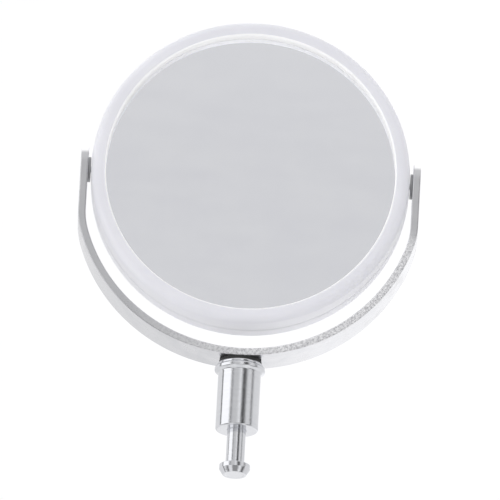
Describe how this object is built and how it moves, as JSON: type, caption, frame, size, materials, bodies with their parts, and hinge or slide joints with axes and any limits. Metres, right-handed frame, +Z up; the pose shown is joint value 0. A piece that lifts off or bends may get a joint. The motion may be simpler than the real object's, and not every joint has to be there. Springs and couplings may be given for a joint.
{
  "type": "shaving mirror head",
  "caption": "Round two-sided shaving mirror in a frosted ring, tipping in a chromed U-shaped fork that turns on a stem with a plug pin for an extending wall arm.",
  "frame": {"origin": "bottom centre of the plug pin's head, on the stem's axis", "axes": "+Z up the stem towards the mirror, +X along the tilt axis to the right as the plain mirror is looked at, -Y out of the plain mirror's face"},
  "size_m": [0.1814, 0.027, 0.2525],
  "materials": {
    "frosted_plastic": "frosted translucent white, satin",
    "silvered_glass": "clear float glass with silvering behind",
    "foam": "closed-cell foam, matte",
    "inner_plastic": "moulded nylon, matte",
    "chromed_strip": "bright plating over sheared and rolled bar, edges rough",
    "chrome": "bright plating over fine turning marks",
    "dark_steel": "dark blued washer",
    "zinc_steel": "zinc plated",
    "black_nylon": "moulded, matte"
  },
  "bodies": {
    "stem": {"sleeve": "chrome", "collar_disc": "chrome", "friction_washer": "black_nylon", "head_washer": "zinc_steel", "swivel_screw": "zinc_steel", "lock_washer": "zinc_steel", "swivel_nut": "zinc_steel", "plug_pin": "chrome"},
    "fork": {"fork_strip": "chromed_strip", "pivot_pin_left": "chrome", "pivot_pin_right": "chrome", "spacer_washer_left": "dark_steel", "spacer_washer_right": "dark_steel", "pivot_spring_left": "zinc_steel", "pivot_spring_right": "zinc_steel", "pivot_clip_left": "zinc_steel", "pivot_clip_right": "zinc_steel"},
    "mirror_head": {"front_bezel": "frosted_plastic", "rear_bezel": "frosted_plastic", "plain_mirror_glass": "silvered_glass", "magnifying_mirror_glass": "silvered_glass", "foam_pad": "foam", "glass_spacer_hoop": "inner_plastic", "pivot_block_left": "inner_plastic", "pivot_block_right": "inner_plastic"}
  },
  "joints": [
    {"name": "fork_swivel", "type": "hinge", "parent": "stem", "child": "fork", "pos_m": [0, 0, 0.0637], "axis": [0, 0, 1], "continuous": true},
    {"name": "mirror_tilt", "type": "hinge", "parent": "fork", "child": "mirror_head", "pos_m": [0, 0, 0.1675], "axis": [1, 0, 0], "continuous": true}
  ]
}
